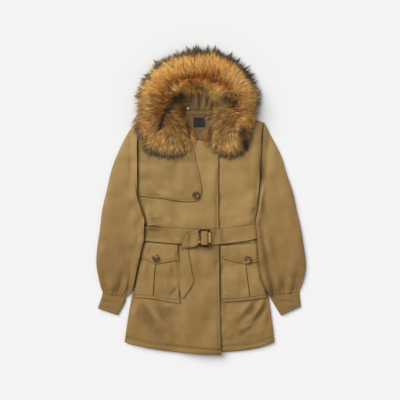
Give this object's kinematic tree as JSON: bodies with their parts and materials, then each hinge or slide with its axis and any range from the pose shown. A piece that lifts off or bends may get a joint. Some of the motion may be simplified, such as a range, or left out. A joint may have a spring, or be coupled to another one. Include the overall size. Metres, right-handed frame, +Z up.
{
  "type": "fur trimmed parka laid flat",
  "caption": "Belted padded parka laid flat on its back, with a fur ruff round the hood, a storm flap, patch pockets and full sleeves in cuffs.",
  "frame": {"origin": "middle of the coat's box on the surface that it lies on, under its back", "axes": "+X to the wearer's left, +Y from the hem to the hood, +Z up out of the fronts"},
  "size_m": [0.7146, 1.044, 0.076],
  "materials": {
    "coat_cloth": "closely woven khaki cotton twill with a soft dull sheen, over light padding",
    "belt_cloth": "the same khaki twill, stiffened and topstitched in rows",
    "lining_cloth": "smooth khaki lining, soft folds",
    "label_cloth": "dark woven satin, blank",
    "fur": "long pile, golden orange with dark tips and dark reddish roots",
    "tortoiseshell": "mottled dark brown and amber, polished",
    "snap_metal": "bright nickel"
  },
  "bodies": {
    "root": {"back_body": "coat_cloth", "front_right": "coat_cloth", "front_left": "coat_cloth", "storm_flap": "coat_cloth", "sleeve_right": "coat_cloth", "sleeve_left": "coat_cloth", "cuff_right": "coat_cloth", "cuff_left": "coat_cloth", "pocket_right": "coat_cloth", "pocket_left": "coat_cloth", "pocket_flap_right": "coat_cloth", "pocket_flap_left": "coat_cloth", "belt_round": "belt_cloth", "belt_end": "belt_cloth", "buckle": "tortoiseshell", "button_chest": "tortoiseshell", "button_pocket_right": "tortoiseshell", "button_pocket_left": "tortoiseshell", "hood_shell": "coat_cloth", "hood_lining": "lining_cloth", "back_facing": "coat_cloth", "neck_tape": "belt_cloth", "label": "label_cloth", "hanger_loop": "coat_cloth", "snap_right": "snap_metal", "snap_left": "snap_metal", "fur_trim": "fur"}
  },
  "joints": []
}
